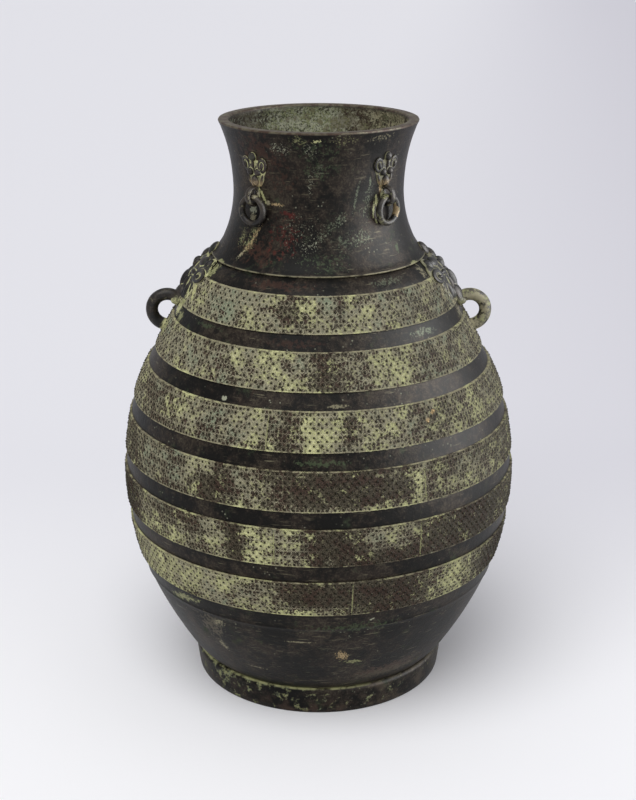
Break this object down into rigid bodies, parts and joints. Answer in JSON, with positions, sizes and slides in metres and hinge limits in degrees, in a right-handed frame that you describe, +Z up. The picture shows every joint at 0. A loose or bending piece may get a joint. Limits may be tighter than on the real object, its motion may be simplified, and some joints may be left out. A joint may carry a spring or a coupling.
{
  "type": "wine jar",
  "caption": "Ovoid lidless bronze wine jar with flared neck, dotted relief bands, foot ring, mask-and-loop shoulder handles and small hanging rings on the neck.",
  "frame": {"origin": "centre of the foot ring's underside, on the surface that the jar stands on", "axes": "+Z up along the jar's axis; +X through the right shoulder handle as seen from the front; -Y to the front"},
  "size_m": [0.2756, 0.2756, 0.4],
  "materials": {
    "body_bronze": "dark brown-black bronze, semi-gloss, with pale green deposit on the relief bands",
    "foot_bronze": "dark bronze with yellow-green blotches",
    "mask_bronze": "dark raised bronze over recesses filled with pale yellow-green deposit",
    "loop_bronze": "dark brown bronze, semi-gloss, with tan and green traces",
    "ring_bronze": "near-black bronze, semi-gloss"
  },
  "bodies": {
    "jar": {"jar_belly": "body_bronze", "jar_neck": "body_bronze", "foot_ring": "foot_bronze", "shoulder_mask_left": "mask_bronze", "shoulder_mask_right": "mask_bronze", "shoulder_loop_left": "loop_bronze", "shoulder_loop_right": "loop_bronze", "neck_mask_front_left": "mask_bronze", "neck_mask_front_right": "mask_bronze", "neck_mask_back_left": "mask_bronze", "neck_mask_back_right": "mask_bronze", "neck_eye_front_left": "loop_bronze", "neck_eye_front_right": "loop_bronze", "neck_eye_back_left": "loop_bronze", "neck_eye_back_right": "loop_bronze"},
    "ring_front_left": {"neck_ring_front_left": "ring_bronze"},
    "ring_front_right": {"neck_ring_front_right": "ring_bronze"},
    "ring_back_right": {"neck_ring_back_right": "ring_bronze"},
    "ring_back_left": {"neck_ring_back_left": "ring_bronze"}
  },
  "joints": [
    {"name": "ring_front_left_swing", "type": "hinge", "parent": "jar", "child": "ring_front_left", "pos_m": [-0.04282, -0.04512, 0.3554], "axis": [-0.8241, 0.5664, 0], "range_deg": [-1, 150]},
    {"name": "ring_front_right_swing", "type": "hinge", "parent": "jar", "child": "ring_front_right", "pos_m": [0.04512, -0.04282, 0.3554], "axis": [-0.6884, -0.7254, 0], "range_deg": [-1, 150]},
    {"name": "ring_back_right_swing", "type": "hinge", "parent": "jar", "child": "ring_back_right", "pos_m": [0.04282, 0.04512, 0.3554], "axis": [0.7254, -0.6884, 0], "range_deg": [-1, 150]},
    {"name": "ring_back_left_swing", "type": "hinge", "parent": "jar", "child": "ring_back_left", "pos_m": [-0.04512, 0.04282, 0.3554], "axis": [0.6884, 0.7254, 0], "range_deg": [-1, 150]}
  ]
}
